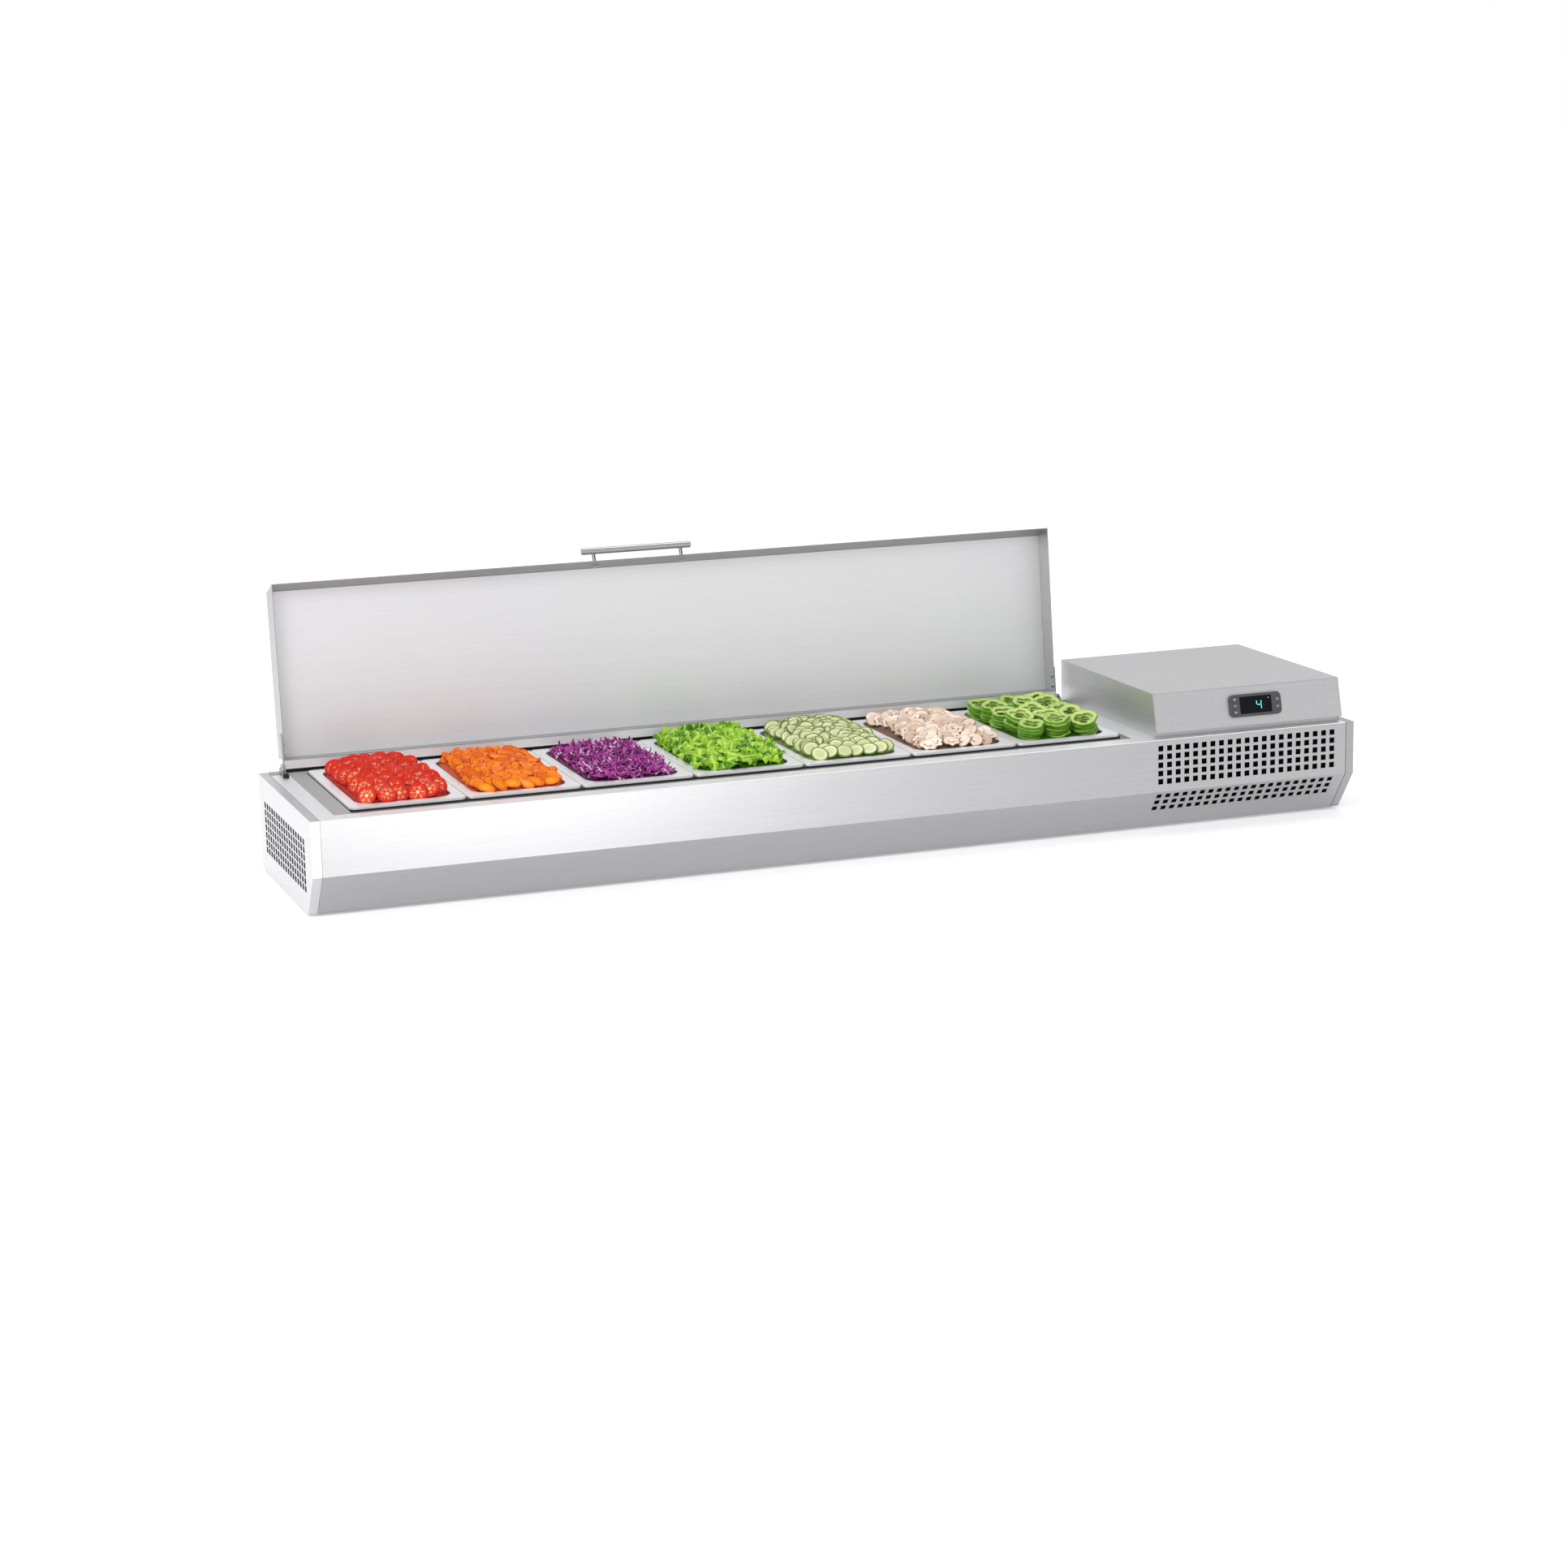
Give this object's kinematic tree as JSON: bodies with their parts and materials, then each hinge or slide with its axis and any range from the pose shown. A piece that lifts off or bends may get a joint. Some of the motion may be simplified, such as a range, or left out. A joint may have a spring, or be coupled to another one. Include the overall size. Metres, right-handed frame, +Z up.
{
  "type": "sandwich prep table",
  "caption": "Long countertop refrigerated prep unit: food pans hang in an insulated well under a hinged lid, with a compressor hood and digital controller at one end.",
  "frame": {"origin": "centre of the whole object's footprint, on the surface that the feet stand on", "axes": "+X along the length towards the compressor end, +Y from the user to the back, +Z up"},
  "size_m": [1.56, 0.3846, 0.4215],
  "materials": {
    "brushed_steel": "brushed, fine horizontal grain",
    "grey_plate": "satin grey",
    "pan_steel": "bright satin",
    "handle_steel": "polished",
    "zinc_steel": "zinc plated",
    "black_rubber": "matt",
    "foam": "closed-cell foam",
    "copper": "drawn copper tube",
    "aluminium": "mill finish",
    "black_paint": "gloss black",
    "dark_plastic": "moulded",
    "screen": "gloss, dark",
    "keys": "moulded",
    "food": "moist cut vegetables, shown in the visual model only"
  },
  "bodies": {
    "cabinet": {"base_tray": "brushed_steel", "body_screws": "zinc_steel", "bulkhead": "brushed_steel", "cable_gland": "dark_plastic", "compressor": "black_paint", "compressor_grommets": "black_rubber", "compressor_plate": "zinc_steel", "condenser": "aluminium", "controller_bezel": "dark_plastic", "controller_body": "dark_plastic", "controller_screen": "screen", "deck_top": "brushed_steel", "discharge_line": "copper", "drain_spout": "dark_plastic", "evaporator_coil": "copper", "fan_motor": "dark_plastic", "fan_shroud": "zinc_steel", "filter_drier": "copper", "foam_insulation": "foam", "front_panel": "brushed_steel", "hinge_brackets": "brushed_steel", "hinge_pins": "zinc_steel", "hinge_washers": "dark_plastic", "hood_cover": "brushed_steel", "hood_front": "brushed_steel", "left_end_panel": "brushed_steel", "lid_bumpers": "black_rubber", "motor_bracket": "zinc_steel", "pan_gasket": "black_rubber", "rear_panel": "brushed_steel", "right_end_panel": "brushed_steel", "rubber_feet": "black_rubber", "spacer_plate": "grey_plate", "suction_line": "copper", "temperature_probe": "dark_plastic", "terminal_box": "dark_plastic", "well_liner": "brushed_steel"},
    "lid": {"lid_skin": "brushed_steel", "lid_liner": "brushed_steel", "lid_insulation": "foam", "hinge_leaf": "brushed_steel", "hinge_arms": "brushed_steel", "lid_screws": "zinc_steel", "handle_bar": "handle_steel", "handle_posts": "handle_steel"},
    "fan": {"fan_blade": "dark_plastic", "fan_shaft": "zinc_steel"},
    "pan_1_body": {"pan_1": "pan_steel"},
    "pan_2_body": {"pan_2": "pan_steel"},
    "pan_3_body": {"pan_3": "pan_steel"},
    "pan_4_body": {"pan_4": "pan_steel"},
    "pan_5_body": {"pan_5": "pan_steel"},
    "pan_6_body": {"pan_6": "pan_steel"},
    "pan_7_body": {"pan_7": "pan_steel"},
    "key_1_body": {"button_1": "keys"},
    "key_2_body": {"button_2": "keys"},
    "key_3_body": {"button_3": "keys"},
    "key_4_body": {"button_4": "keys"},
    "key_5_body": {"button_5": "keys"}
  },
  "joints": [
    {"name": "lid_hinge", "type": "hinge", "parent": "cabinet", "child": "lid", "pos_m": [0, 0.12465, 0.146], "axis": [-1, 0, 0], "range_deg": [-96, 0]},
    {"name": "fan_spin", "type": "hinge", "parent": "cabinet", "child": "fan", "pos_m": [0.604, -0.10235, 0.072], "axis": [0, 1, 0], "continuous": true},
    {"name": "pan_1_lift", "type": "slide", "parent": "cabinet", "child": "pan_1_body", "axis": [0, 0, 1], "range_m": [0, 0.12]},
    {"name": "pan_2_lift", "type": "slide", "parent": "cabinet", "child": "pan_2_body", "axis": [0, 0, 1], "range_m": [0, 0.12]},
    {"name": "pan_3_lift", "type": "slide", "parent": "cabinet", "child": "pan_3_body", "axis": [0, 0, 1], "range_m": [0, 0.12]},
    {"name": "pan_4_lift", "type": "slide", "parent": "cabinet", "child": "pan_4_body", "axis": [0, 0, 1], "range_m": [0, 0.12]},
    {"name": "pan_5_lift", "type": "slide", "parent": "cabinet", "child": "pan_5_body", "axis": [0, 0, 1], "range_m": [0, 0.12]},
    {"name": "pan_6_lift", "type": "slide", "parent": "cabinet", "child": "pan_6_body", "axis": [0, 0, 1], "range_m": [0, 0.12]},
    {"name": "pan_7_lift", "type": "slide", "parent": "cabinet", "child": "pan_7_body", "axis": [0, 0, 1], "range_m": [0, 0.12]},
    {"name": "key_1_press", "type": "slide", "parent": "cabinet", "child": "key_1_body", "axis": [0, 0.9701, -0.2425], "range_m": [0, 0.0008], "stiffness_N_per_m": 300},
    {"name": "key_2_press", "type": "slide", "parent": "cabinet", "child": "key_2_body", "axis": [0, 0.9701, -0.2425], "range_m": [0, 0.0008], "stiffness_N_per_m": 300},
    {"name": "key_3_press", "type": "slide", "parent": "cabinet", "child": "key_3_body", "axis": [0, 0.9701, -0.2425], "range_m": [0, 0.0008], "stiffness_N_per_m": 300},
    {"name": "key_4_press", "type": "slide", "parent": "cabinet", "child": "key_4_body", "axis": [0, 0.9701, -0.2425], "range_m": [0, 0.0008], "stiffness_N_per_m": 300},
    {"name": "key_5_press", "type": "slide", "parent": "cabinet", "child": "key_5_body", "axis": [0, 0.9701, -0.2425], "range_m": [0, 0.0008], "stiffness_N_per_m": 300}
  ]
}
